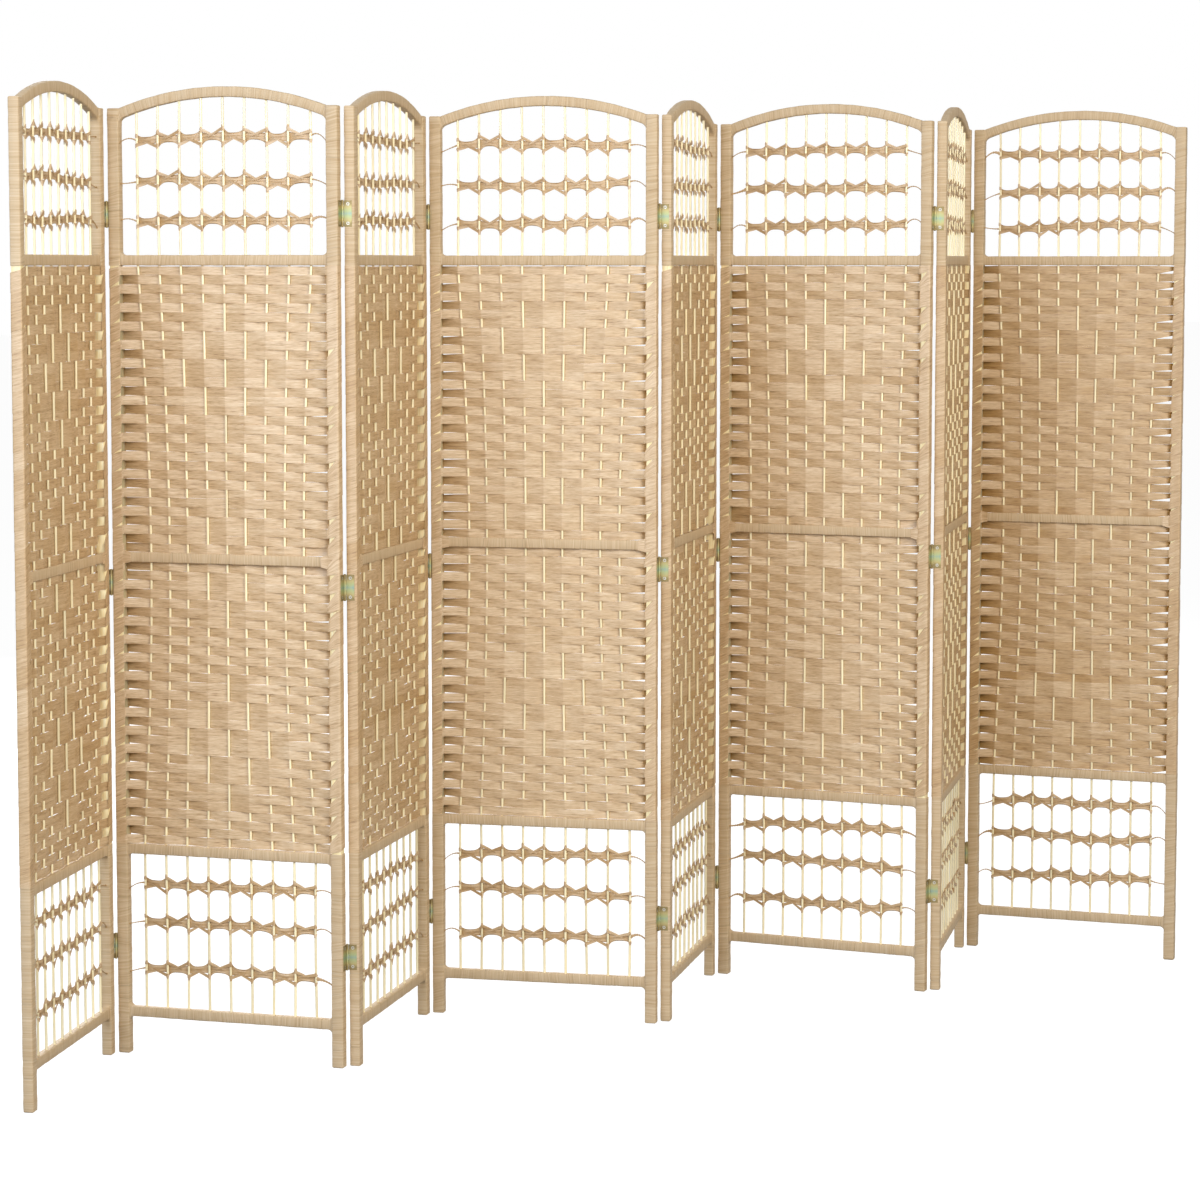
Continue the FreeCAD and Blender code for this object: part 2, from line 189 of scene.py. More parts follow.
def tubes(points, along, across, tone=0.0, material=0):
    """Closed rings carried along lines, capped at both ends.

    points has the shape (lines, stations, ring, 3). along and across, the grain map, broadcast to
    (lines, stations, ring + 1), because the ring's last corner closes on its first with a full turn's grain.
    """
    lines, stations, ring = points.shape[:3]
    ids = np.arange(lines * stations * ring).reshape(lines, stations, ring)
    loop = np.concatenate([ids, ids[:, :, :1]], 2)
    shape = (lines, stations, ring + 1)
    grain = np.stack([np.broadcast_to(along, shape), np.broadcast_to(across, shape)], -1)

    def four(grid):
        return np.stack([grid[:, :-1, :-1], grid[:, 1:, :-1], grid[:, 1:, 1:], grid[:, :-1, 1:]], 3)

    def outwards(corners):
        return np.where(inside_out[:, None, None, None], corners[:, :, ::-1], corners)

    around = points - points.mean((1, 2), keepdims=True)
    a, b, c, d = np.moveaxis(four(np.concatenate([around, around[:, :, :1]], 2)), 3, 0)
    inside_out = np.einsum("lsri,lsri->l", a, np.cross(b, c) + np.cross(c, d)) < 0
    quads, quad_grain = (outwards(four(grid).reshape(lines, -1, 4, size))
                         for grid, size in ((loop, 1), (grain, 2)))
    caps = outwards(np.stack([ids[:, 0], ids[:, -1, ::-1]], 1)[..., None])
    cap_grain = outwards(np.stack([grain[:, 0, :-1], grain[:, -1, -2::-1]], 1))
    return {
        "points": points.reshape(-1, 3),
        "faces": [quads.reshape(-1, 4), caps.reshape(-1, ring)],
        "grain": [quad_grain.reshape(-1, 2), cap_grain.reshape(-1, 2)],
        "tone": np.broadcast_to(tone, points.shape[:3]).ravel(),
        "material": material,
    }


def add_object(name, data):
    """A new object of the scene, at the origin."""
    thing = bpy.data.objects.new(name, data)
    bpy.context.scene.collection.objects.link(thing)
    return thing


def make_piece(short, panel, surfaces, materials, replaced):
    """One mesh from several surfaces, stood in the panel's place, riding on the panel's body."""
    points = np.concatenate([s["points"] for s in surfaces])
    starts = np.cumsum([0] + [len(s["points"]) for s in surfaces])
    faces = [f + start for s, start in zip(surfaces, starts) for f in s["faces"]]
    finish = np.concatenate([np.full(len(f), s["material"]) for s in surfaces for f in s["faces"]])
    sizes = np.concatenate([np.full(len(f), f.shape[1]) for f in faces])
    body = f"panel_{panel + 1}"
    name = f"{body}_{short}"
    mesh = bpy.data.meshes.new(name)
    mesh.vertices.add(len(points))
    mesh.loops.add(int(sizes.sum()))
    mesh.polygons.add(len(sizes))
    plan = turned(points[:, :2], headings[panel]) + corners[panel]
    mesh.vertices.foreach_set("co", np.column_stack([plan, points[:, 2]]).ravel())
    mesh.loops.foreach_set("vertex_index", np.concatenate([f.ravel() for f in faces]))
    mesh.polygons.foreach_set("loop_start", np.concatenate([[0], np.cumsum(sizes)[:-1]]))
    mesh.polygons.foreach_set("material_index", finish)
    mesh.update(calc_edges=True)
    grain = mesh.uv_layers.new(name="grain")
    grain.data.foreach_set("uv", np.concatenate([g for s in surfaces for g in s["grain"]]).ravel())
    tone = mesh.attributes.new("tone", "FLOAT", "POINT")
    tone.data.foreach_set("value", np.concatenate([s["tone"] for s in surfaces]))
    mesh.shade_smooth()
    mesh.set_sharp_from_angle(angle=SHARP_ANGLE)
    for material in materials:
        mesh.materials.append(material)
    piece = add_object(name, mesh)
    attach(piece, body)
    if replaced:
        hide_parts(f"{body}_{replaced}")


# %% [markdown]
# ## Finishes
# All colour comes from the piece's own grain map and tone, and in places the tone is painted shade. Paper strip
# has long thin fibres, so noise is stretched along the strip, and a low tone makes it warmer too: partly its
# own deeper colour, partly painted warm light bounced into its shade. Wound cord differs a little at each turn.
# A picture could be laid on instead, but a formula stays sharp at any distance.

# %% Finishes for paper, cord, bamboo and bare wood
EVEN_TONE = (0.10, 0.10, 0.10)
# How much red, green and blue follow the strip's tone: blue most, so deep tone and painted shade turn warmer, a
# painted warm bounce light.
STRIP_TONE_AND_BOUNCE = (0.11, 0.155, 0.235)
STREAK_DETAIL = 3.0


def node_adder(tree):
    """A function that adds a node to a tree: its settings, and inputs that are sockets to join or values."""
    def add(kind, inputs=None, **settings):
        node = tree.nodes.new(kind)
        for key, value in settings.items():
            setattr(node, key, value)
        for key, value in (inputs or {}).items():
            if isinstance(value, bpy.types.NodeSocket):
                tree.links.new(value, node.inputs[key])
            else:
                node.inputs[key].default_value = value
        return node

    return add


def finish(name, roughness, gloss):
    """A new material, its shader and its node adder."""
    material = bpy.data.materials.new(name)
    material.use_nodes = True
    shader = material.node_tree.nodes["Principled BSDF"]
    shader.inputs["Roughness"].default_value = roughness
    shader.inputs["Specular IOR Level"].default_value = gloss
    return material, shader, node_adder(material.node_tree)


def streaks(add, place, along, across, detail=STREAK_DETAIL):
    """Noise from 0 to 1 on the grain map, with so many features a metre along the piece and across it."""
    scaled = add("ShaderNodeMapping", {"Vector": place, "Scale": (along, across, 1.0)})
    noise = add("ShaderNodeTexNoise", {"Vector": scaled.outputs[0], "Scale": 1.0, "Detail": detail})
    return noise.outputs[0]


def worked(add, operation, *values):
    """One sum of the node tree: sockets or numbers in, a socket out."""
    return add("ShaderNodeMath", dict(enumerate(values)), operation=operation).outputs[0]


def mixed(add, first, second, share):
    """first x (1 - share) + second x share."""
    return worked(add, "MULTIPLY_ADD", second, share, worked(add, "MULTIPLY", first, 1 - share))


def blend_colours(add, factor, stops):
    """A colour ramp: each stop is its place on the factor and its linear colour."""
    ramp = add("ShaderNodeValToRGB", {"Fac": factor})
    elements = ramp.color_ramp.elements
    while len(elements) < len(stops):
        elements.new(0.5)
    for element, (place, colour) in zip(elements, stops):
        element.position = place
        element.color = (*colour, 1.0)
    return ramp.outputs[0]


def toned(add, colour, strength):
    """The colour times 1 + strength x tone in each of red, green and blue."""
    tone = add("ShaderNodeAttribute", attribute_name="tone").outputs["Fac"]
    gain = add("ShaderNodeVectorMath", {0: tone, 1: strength, 2: (1, 1, 1)}, operation="MULTIPLY_ADD")
    return add("ShaderNodeVectorMath", {0: colour, 1: gain.outputs[0]}, operation="MULTIPLY").outputs[0]


def grain_place(add):
    """The piece's own grain map."""
    return add("ShaderNodeUVMap", uv_map="grain").outputs[0]


def connect(shader, socket, output):
    """Joins a node's output to one of the shader's sockets."""
    shader.id_data.links.new(output, shader.inputs[socket])


def relief(add, shader, height, strength, distance):
    """Fine relief from a height between 0 and 1."""
    bump = add("ShaderNodeBump", {"Height": height, "Strength": strength, "Distance": distance})
    connect(shader, "Normal", bump.outputs[0])


def paper_strip():
    """Flat paper strip: long fibres in three browns, a satin gloss and fine lengthwise relief."""
    material, shader, add = finish("paper_strip", 0.50, 1.0)
    place = grain_place(add)
    fibres = streaks(add, place, 62.0, 1000.0, 4.0)
    folds = streaks(add, place, 12.0, 210.0, 1.0)
    both = mixed(add, fibres, folds, 0.35)
    colour = blend_colours(add, both, [(0.34, (0.34, 0.20, 0.088)), (0.45, (0.56, 0.39, 0.216)),
                                       (0.55, (0.64, 0.467, 0.285)), (0.67, (0.75, 0.592, 0.40))])
    # A low tone, painted shade in places, also warms the colour as painted bounced light.
    connect(shader, "Base Color", toned(add, colour, STRIP_TONE_AND_BOUNCE))
    relief(add, shader, both, 0.40, 0.0008)
    return material


def wound_cord():
    """Fine paper cord, turn beside turn: each turn has its own tone, and painted shade darkens the hollows
    between turns, most at a few seams.
    """
    material, shader, add = finish("wound_cord", 0.60, 0.40)
    place = grain_place(add)
    turns = streaks(add, place, 430.0, 9.0, 2.0)
    patches = streaks(add, place, 60.0, 25.0, 2.0)
    both = mixed(add, turns, patches, 0.22)
    colour = blend_colours(add, both, [(0.30, (0.48, 0.335, 0.185)), (0.44, (0.57, 0.42, 0.255)),
                                       (0.57, (0.62, 0.475, 0.305)), (0.72, (0.69, 0.55, 0.38))])
    connect(shader, "Base Color", toned(add, colour, EVEN_TONE))
    relief(add, shader, streaks(add, place, 900.0, 60.0), 0.3, 0.0003)
    return material


def pale_wood(name, roughness, gloss, along, across, stops, depth):
    """Split bamboo or a post's bare wood: a pale colour with faint long streaks and their relief."""
    material, shader, add = finish(name, roughness, gloss)
    fibres = streaks(add, grain_place(add), along, across)
    connect(shader, "Base Color", toned(add, blend_colours(add, fibres, stops), EVEN_TONE))
    relief(add, shader, fibres, 0.2, depth)
    return material


BAMBOO_STOPS = ((0.30, (0.87, 0.73, 0.41)), (0.50, (0.95, 0.85, 0.56)), (0.70, (0.97, 0.90, 0.66)))
WOOD_STOPS = ((0.30, (0.88, 0.70, 0.36)), (0.50, (0.95, 0.82, 0.50)), (0.70, (0.97, 0.89, 0.63)))
STRIP, CORD = paper_strip(), wound_cord()
BAMBOO = pale_wood("bamboo", 0.30, 0.90, 7.0, 700.0, BAMBOO_STOPS, 0.0003)
WOOD = pale_wood("bare_wood", 0.50, 0.35, 12.0, 420.0, WOOD_STOPS, 0.0004)
print("finishes", [m.name for m in (STRIP, CORD, BAMBOO, WOOD)])

# %% [markdown]
# ## Rods
# Nine thin split-bamboo rods run from the bottom rail up into the arch. The weave draws them in towards the
# panel's middle, and in the lattices they lean a little. A rod is a ring carried up a bowed line.

# %% Rods that bow where the weave pulls them
WEAVE_DRAWS = (0.015, 0.018, 0.016, 0.020, 0.016, 0.011, 0.015, 0.014)
LATTICE_LEAN = 0.0016
ROD_RING = 10
ROD_STATIONS = 72
ROD_SEAT = 0.008
ROD_SWELL = 0.05


def rod_bows(rng, panel):
    """How far each rod bows in the lower lattice, the weave and the upper lattice."""
    from_middle = np.linspace(-1, 1, ROD_COUNT)
    weave, lower, upper = LATTICE_LEAN * rng.uniform(-1, 1, (3, ROD_COUNT))
    return lower, weave - WEAVE_DRAWS[panel] * from_middle, upper


def rod_line(bows, z):
    """Each rod's x at heights z: its place + the zone's bow x sin(pi x share of the zone)."""
    zones = [(LEG_HEIGHT + RAIL_HEIGHT, LOWER_RAIL_Z), (WEAVE_BOTTOM, WEAVE_TOP),
             (UPPER_RAIL_Z + RAIL_HEIGHT, POST_HEIGHT)]
    x = ROD_PLACES[:, None] + np.zeros_like(z)[None, :]
    for bow, (low, high) in zip(bows, zones):
        x = x + bow[:, None] * np.sin(np.pi * np.clip((z - low) / (high - low), 0, 1))[None, :]
    return x


def rods(rng, bows):
    """Nine tubes: x = line + r cos a, y = r sin a, with a radius that swells and thins a little."""
    share = np.linspace(0, 1, ROD_STATIONS)
    low = LEG_HEIGHT + RAIL_HEIGHT - ROD_SEAT
    z = low + share * (arch_underside(ROD_PLACES)[:, None] + ROD_SEAT - low)
    x = np.stack([rod_line(bows, z[i])[i] for i in range(ROD_COUNT)])
    radius = ROD_RADIUS * (1 + ROD_SWELL * wander(rng, ROD_COUNT, ROD_STATIONS, 9))[..., None]
    angle, ring = circle(ROD_RING)
    points = xyz(x[..., None] + radius * np.cos(ring), radius * np.sin(ring), z[..., None])
    offset = np.arange(ROD_COUNT)[:, None, None]
    tone = wander(rng, ROD_COUNT, ROD_STATIONS, 5)[..., None]
    return tubes(points, z[..., None] + offset, angle * ROD_RADIUS, tone)


# %% [markdown]
# ## Wound posts and rails
# The frame is wound with fine paper cord. Each turn is a crest between two hollows, turns differ in width and
# lean a little, and the winding swells and thins. A bump alone would look flat along the bar's outline, so the
# turns are in the mesh: a rounded section carried along the bar, drawn in at each hollow.

# %% The winding's turns and section
CORD_TURN = 0.0024
CORD_RELIEF = 0.00024
CORD_SWELL = 0.0003
TURN_SPREAD = 0.4
SEAM_SHARE = 0.03
SEAM_DEPTH = 1.6
HOLLOWS = (0.4, 1.1)
SECTION_RADIUS = 0.0026
ROUNDEST = 0.9
QUARTER_ANGLES = np.radians([0, 45, 90])
SECTION_ANGLES = (np.arange(4)[:, None] * np.pi / 2 + QUARTER_ANGLES).ravel()


def cord_turns(rng, length):
    """Places along a bar, how deep the surface lies there and its tone: hollow, crest, hollow, with uneven
    turns. The tone is painted shade: a hollow is darker than a crest, and a few hollows are seams, deeper and
    darker still."""
    count = int(length / CORD_TURN)
    widths = 1 + TURN_SPREAD * rng.uniform(-1, 1, count)
    edges = np.concatenate([[0], np.cumsum(widths)]) * length / widths.sum()
    places, hollows = np.empty(2 * count + 1), np.zeros(2 * count + 1)
    places[0::2], places[1::2] = edges, (edges[1:] + edges[:-1]) / 2
    hollows[0::2] = rng.uniform(*HOLLOWS, count + 1) + SEAM_DEPTH * (rng.random(count + 1) < SEAM_SHARE)
    swell = CORD_SWELL * (1 + wander(rng, 1, len(places), count // 6 + 1)[0])
    # The tone is painted shade in the hollows, deepest at the seams.
    return places, CORD_RELIEF * hollows + swell, (HOLLOWS[0] - hollows)[None, :, None]


def section_loop(half_wide, half_tall, inset):
    """Twelve points round a rounded rectangle, drawn in by inset: corner + (radius - inset)(cos a, sin a)."""
    radius = min(SECTION_RADIUS, half_wide * ROUNDEST, half_tall * ROUNDEST)
    wide_sign = np.repeat([1, -1, -1, 1], len(QUARTER_ANGLES))
    tall_sign = np.repeat([1, 1, -1, -1], len(QUARTER_ANGLES))
    reach = radius - inset[:, None]
    wide = wide_sign * (half_wide - radius) + reach * np.cos(SECTION_ANGLES)
    tall = tall_sign * (half_tall - radius) + reach * np.sin(SECTION_ANGLES)
    steps = np.hypot(np.diff(closed_ring(wide[0])), np.diff(closed_ring(tall[0])))
    return wide, tall, np.concatenate([[0], np.cumsum(steps)])


print("turns on a post", int(POST_HEIGHT / CORD_TURN))

# %% [markdown]
# A post is wound from the floor to the weave and again above it. Within the weave it is a bare wooden bar,
# because there the strip itself covers it. Its foot and top are rounded over. On a left post, the bare bar's
# face towards the weave has painted shade, a deeper tone where it lies in shadow.

# %% Posts
END_ROUND = 0.0022
WINDING_PROUD = 0.0010
TURN_LEAN = 0.0022
LEAN_FADE = 0.012
BARE_INSET = 0.0011
BARE_OVERLAP = 0.004
BARE_STATIONS = 24
# Painted shade on the bare bar's face towards the weave: deep on a left post, none on a right one.
INNER_PAINTED_SHADES = (4.5, 0.0)
INNER_FACE = np.cos(SECTION_ANGLES) > 0.9


def wound_post(rng, middle, low, high):
    """A wound stretch of post: the section carried up, each turn tilted by the lean across the post."""
    places, depths, tone = cord_turns(rng, high - low)
    z = low + places
    inset = depths + quarter_round(z, END_ROUND) + quarter_round(POST_HEIGHT - z, END_ROUND)
    wide, tall, girth = section_loop(POST_WIDTH / 2 + WINDING_PROUD, POST_DEPTH / 2, inset)
    fade = ease_between(0, LEAN_FADE, places) * ease_between(0, LEAN_FADE, high - low - places)
    lean = TURN_LEAN * (0.5 + wander(rng, 1, len(z), 9)[0]) * fade
    tilt = lean[:, None] * wide / (POST_WIDTH / 2)
    points = xyz(middle + wide, tall, z[:, None] + tilt)
    return tubes(points[None], (z + rng.uniform(0, 9))[None, :, None], girth, tone, 0)


def bare_post(rng, middle, side):
    """The bare bar within the weave: the section, drawn in on every side, carried between the windings."""
    z = np.linspace(WEAVE_BOTTOM - BARE_OVERLAP, WEAVE_TOP + BARE_OVERLAP, BARE_STATIONS)
    inset = np.full(BARE_STATIONS, BARE_INSET)
    wide, tall, girth = section_loop(POST_WIDTH / 2, POST_DEPTH / 2, inset)
    points = xyz(middle + wide, tall, z[:, None])
    # Painted shade: on a left post the bare bar's face towards the weave is darkened.
    tone = wander(rng, 1, BARE_STATIONS, 8)[:, :, None] - INNER_PAINTED_SHADES[side] * INNER_FACE
    return tubes(points[None], (z + rng.uniform(0, 9))[None, :, None], girth, tone, 1)


def post(rng, side):
    """One post, left for side 0 and right for side 1: two wound stretches and the bare bar."""
    middle = POST_WIDTH / 2 + side * RIGHT_EDGE
    return [wound_post(rng, middle, 0, WEAVE_BOTTOM), bare_post(rng, middle, side),
            wound_post(rng, middle, WEAVE_TOP, POST_HEIGHT)]


# %% [markdown]
# Four level rails and the arch use the same winding. Where a rail meets a post beside an opening, the cord
# crosses from one to the other and fills the corner, so the rail's edge flares out in a quarter circle.

# %% Rails
CORNER_FILL = 0.010
RAIL_LEAN = 0.0016
RAIL_OVERLAP = 0.003
ARCH_OVERLAP = 0.006
BATTEN_FRONT = -0.0095
BATTEN_BACK = -0.0040


def corner_fill(x):
    """How far a rail's edge flares at x, by its distance from the nearer post."""
    return quarter_round(np.minimum(x - POST_WIDTH, RIGHT_EDGE - x), CORNER_FILL)


def wound_rail(rng, length, half_deep, half_tall, fills, bend, overlap):
    """A winding along a rail. bend gives the rail's (x, z) for a place along it and a rise across it."""
    places, depths, tone = cord_turns(rng, length)
    deep, rise, girth = section_loop(half_deep, half_tall, depths)
    fade = ease_between(overlap, overlap + LEAN_FADE, np.minimum(places, length - places))
    lean = RAIL_LEAN * wander(rng, 1, len(places), 9)[0] * fade
    x, z = bend(places[:, None] + lean[:, None] * rise / half_tall, rise)
    for sign, filled in ((1, fills[0]), (-1, fills[1])):
        if filled:
            z = z + sign * corner_fill(x) * np.clip(sign * rise / half_tall, 0, 1)
    return xyz(x, deep, z)[None], (places + rng.uniform(0, 9))[None, :, None], girth, tone


def level_rail(rng, low_z, fills, front=-RAIL_DEPTH / 2, back=RAIL_DEPTH / 2):
    """A level rail from post to post; fills says whether its upper and its lower corners are filled."""
    middle_z = low_z + RAIL_HEIGHT / 2

    def bend(along, rise):
        return POST_WIDTH - RAIL_OVERLAP + along, middle_z + rise

    length = INNER_WIDTH + 2 * RAIL_OVERLAP
    points, *grain = wound_rail(rng, length, (back - front) / 2, RAIL_HEIGHT / 2, fills, bend, RAIL_OVERLAP)
    points[..., 1] += (front + back) / 2
    return tubes(points, *grain)


def arch_rail(rng):
    """The arch: along becomes an angle about the arch's centre, and rise adds to its middle radius."""
    middle_radius = ARCH_RADIUS - RAIL_HEIGHT / 2
    half_angle = math.asin((INNER_WIDTH / 2 + ARCH_OVERLAP) / middle_radius)

    def bend(along, rise):
        angle = along / middle_radius - half_angle
        radius = middle_radius + rise
        return PANEL_WIDTH / 2 + radius * np.sin(angle), ARCH_CENTRE_Z + radius * np.cos(angle)

    length = 2 * half_angle * middle_radius
    rail = wound_rail(rng, length, RAIL_DEPTH / 2, RAIL_HEIGHT / 2, (False, True), bend, ARCH_OVERLAP)
    return tubes(*rail)


def rails(rng):
    """The five rails, from the bottom up."""
    return [level_rail(rng, LEG_HEIGHT, (True, True)), level_rail(rng, LOWER_RAIL_Z, (False, True)),
            level_rail(rng, MIDDLE_RAIL_Z, (False, False), BATTEN_FRONT, BATTEN_BACK),
            level_rail(rng, UPPER_RAIL_Z, (True, False)), arch_rail(rng)]


# %% [markdown]
# ## The weave
# Flat strip runs to and fro in 63 rows. A row passes behind the rods that show and before the others, and some
# rows of each figure skip rods, which draws a diamond. Every row is one thin closed ribbon: its plan line goes
# through a point at each rod and post, and its edges wander, so that slits open between rows. Each panel's
# strip has a painted shade of its own: every second panel and the last one are deeper, because less light
# reaches them. A row that goes behind a post also has painted shade towards that post.

# %% Rows of strip
FIGURE_PERIOD = 20
FIGURE_RODS = {0: (3, 5, 7), 3: (1, 4, 6, 9), 6: (2, 5, 8)}
FIRST_CENTRE_ROWS = (12, 12, 11, 9, 10, 12, 11, 13)
SPAN_SHARES = np.array([0, 0.05, 0.12, 0.30, 0.50, 0.70, 0.88, 0.95])
RIBBON_ACROSS = np.array([-1, -0.45, 0.45, 1])
EDGE_OVERLAP = 0.0001
EDGE_WANDER = 0.0003
STRIP_CROWN = 0.0007
STRIP_TUCK = 0.002
END_SLITS = ((0.0010, 0.0015), (0.0016, 0.0020), (0.0010, 0.0012), (0.0030, 0.0030),
             (0.0010, 0.0012), (0.0030, 0.0028), (0.0010, 0.0012), (0.0005, 0.0080))
SLIT_REST = 0.25
LATE_DIVE = 3.0
# Painted shade on rows that go behind a post: over the whole end at the left, in a narrow band at the right.
LEFT_PAINTED_SHADE = 1.8
RIGHT_PAINTED_SHADE = 3.0
PAINTED_SHADE_REACH = 0.010
ROW_TONE_SPREAD = 0.30
# Painted shade of each panel's strip: deeper on the panels that get less light, and on the last one.
PANEL_PAINTED_SHADES = (-1.0, 0.0, -1.1, 0.0, -1.2, -0.3, -1.2, -1.4)
FRONT_SLIT_SHARE = 0.15
TOP_SLITS = (0.0003, 0.0022)
BOTTOM_SLIT = 0.0010
ROW_GRAIN_STEP = 0.05
EASED_SHARE = 0.25
ROW_TONE_WANDER = 0.6


def bare_rods(row, first_centre):
    """Which rods a row leaves showing, by its distance from the nearest figure's centre row."""
    half = FIGURE_PERIOD // 2
    step = abs((row - first_centre + half) % FIGURE_PERIOD - half)
    numbers = FIGURE_RODS.get(step, range(1 + (step + 1) % 2, ROD_COUNT + 1, 2))
    return np.isin(np.arange(1, ROD_COUNT + 1), list(numbers))


def rows_before_posts(first_centre):
    """True for each row that passes before the posts: those an odd number of rows from a figure's centre,
    except beside the middle rail."""
    rows = np.arange(ROW_COUNT)
    top = WEAVE_TOP - rows * ROW_PITCH
    beside = (top - ROW_PITCH < MIDDLE_RAIL_Z + RAIL_HEIGHT) & (top > MIDDLE_RAIL_Z)
    return ((rows + 1 - first_centre) % 2 == 1) & ~beside


def ribbon_loop(across):
    """The order of a ribbon's points round its section: over the front, then back over the rear."""
    return np.concatenate([across, across[::-1]]), np.repeat([-1, 1], len(across))


def along_spans(knots):
    """Values at knots, shape (rows, knots), spread over each span's shares, with an eased start and end."""
    ease = (1 - EASED_SHARE) * SPAN_SHARES + EASED_SHARE * ease_between(0, 1, SPAN_SHARES)
    spans = knots[:, :-1, None] + (knots[:, 1:, None] - knots[:, :-1, None]) * ease
    return np.concatenate([spans.reshape(len(knots), -1), knots[:, -1:]], 1)


def weave_rows(rng, bows, first_centre, row_tones_and_shade, slits):
    """All rows as ribbons: x and y run through the knots, z is the row's middle +- its half width. Beside a
    post, a row narrows evenly, mostly from above at the left and from below at the right, and leaves a slit."""
    middle = WEAVE_TOP - (np.arange(ROW_COUNT) + 0.5) * ROW_PITCH
    before = rows_before_posts(first_centre)
    bare = np.stack([bare_rods(row, first_centre) for row in range(1, ROW_COUNT + 1)])
    ends = np.full((ROW_COUNT, 1), POST_WIDTH - STRIP_TUCK)
    rods_x = rod_line(bows, middle).T
    x = along_spans(np.concatenate([ends, rods_x, PANEL_WIDTH - ends], 1))
    end_y = np.where(before, -STRIP_AT_POST, STRIP_BEHIND_POST)[:, None]
    y = along_spans(np.concatenate([end_y, np.where(bare, STRIP_AT_ROD, -STRIP_AT_ROD), end_y], 1))
    stations, last = x.shape[1], len(SPAN_SHARES) + 1
    late_from = y[:, -last:-last + 1]
    late = late_from + (end_y - late_from) * np.append(SPAN_SHARES, 1) ** LATE_DIVE
    y[:, -last:] = np.where(before[:, None], y[:, -last:], late)
    left = np.clip((rods_x[:, :1] - x) / (rods_x[:, :1] - POST_WIDTH), 0, 1)
    right = np.clip((x - rods_x[:, -1:]) / (RIGHT_EDGE - rods_x[:, -1:]), 0, 1)
    draw = rng.uniform(0, 1, (2, ROW_COUNT, 1)) * np.where(before, FRONT_SLIT_SHARE, 1.0)[:, None]
    left_slit, right_slit = slits[0] * draw[0] * left, slits[1] * draw[1] * right
    half = ROW_PITCH / 2 + EDGE_OVERLAP
    upper = half + EDGE_WANDER * wander(rng, ROW_COUNT, stations, 26) - left_slit - SLIT_REST * right_slit
    lower = half + EDGE_WANDER * wander(rng, ROW_COUNT, stations, 26) - right_slit - SLIT_REST * left_slit
    upper[0] -= rng.uniform(*TOP_SLITS)
    lower[-1] -= BOTTOM_SLIT

    across, face = ribbon_loop(RIBBON_ACROSS)
    z = middle[:, None, None] + np.where(across > 0, upper[..., None], lower[..., None]) * across
    crown = STRIP_CROWN * (y / STRIP_AT_ROD)[..., None] * (0.5 - across ** 2)
    depth = y[..., None] + crown + face * STRIP_THICKNESS / 2
    points = xyz(x[..., None], depth, z)

    # Painted shade: a row that goes behind a post is darkened towards it.
    right_shade_share = 1 - ease_between(0, PAINTED_SHADE_REACH, RIGHT_EDGE - x)
    inner = LEFT_PAINTED_SHADE * (0.4 * ease_between(0, 0.15, left) + 0.6 * left ** 2)
    shade = (inner + RIGHT_PAINTED_SHADE * right_shade_share) * np.where(before, 0, 1)[:, None]
    tone = row_tones_and_shade[:, None] + ROW_TONE_WANDER * wander(rng, ROW_COUNT, stations, 18) - shade
    row_grain = np.arange(ROW_COUNT)[:, None, None] * ROW_GRAIN_STEP + rng.uniform(0, 9)
    girth = row_grain + closed_ring(across) * ROW_PITCH / 2
    return tubes(points, x[..., None] + rng.uniform(0, 9, (ROW_COUNT, 1, 1)), girth, tone[..., None])


# %% [markdown]
# At each post, a row that passed before it goes round its outer face and comes back behind it as the next
# row. These turns spread out and lean, and where two of them part, a corner of bare wood shows.

# %% Turns of strip round the posts
WRAP_REACH = -0.0006
WRAP_THICKNESS = 0.0005
WRAP_CORNER = 0.0032
WRAP_FANS = {"left": (2.1, 2.65), "right": (1.1, 1.8), "last": (2.2, 2.8)}
WRAP_CLOSED_SHARES = (0.15, 0.35)
WRAP_CLOSE_SHARES = (0.85, 0.75)
WRAP_FULL = 3.08
WRAP_UNEVEN = 0.07
WRAP_LEAD = 0.0030
WRAP_DIP = 0.0009
WRAP_LEAST = 0.0003
WRAP_CRUMPLE = 0.0003
WRAP_FRONT_SHARES = np.linspace(0, 1, 7)
WRAP_TURN_ANGLES = np.linspace(0, np.pi / 2, 4)


def wrap_path(inset, lead, dip=0.0):
    """Plan path of a turn on a left post, its inward directions and the length along it: along the front, from
    a lead beside the post that dips into the weave, round two corners past the outer face, and back."""
    half = POST_DEPTH / 2 - inset
    corner_x, corner_y = inset + WRAP_CORNER, half - WRAP_CORNER
    front_x = POST_WIDTH + (corner_x - POST_WIDTH) * WRAP_FRONT_SHARES
    turn_x = corner_x - WRAP_CORNER * np.sin(WRAP_TURN_ANGLES)
    turn_y = -corner_y - WRAP_CORNER * np.cos(WRAP_TURN_ANGLES)
    lead_x = POST_WIDTH + lead * np.linspace(1, 0, 5)[:-1]
    x = np.concatenate([front_x, turn_x[1:]])
    y = np.concatenate([np.full(len(front_x), -half), turn_y[1:]])
    x = np.concatenate([lead_x, x, x[::-1]])
    y = np.concatenate([np.full(len(lead_x), -half), y, -y[::-1]])
    y += dip * np.clip((x - POST_WIDTH) / lead, 0, 1) * (y < 0)
    step = np.stack([np.gradient(x), np.gradient(y)])
    inward = np.stack([step[1], -step[0]]) / np.hypot(*step)
    return x, y, inward, np.concatenate([[0], np.cumsum(np.hypot(np.diff(x), np.diff(y)))])


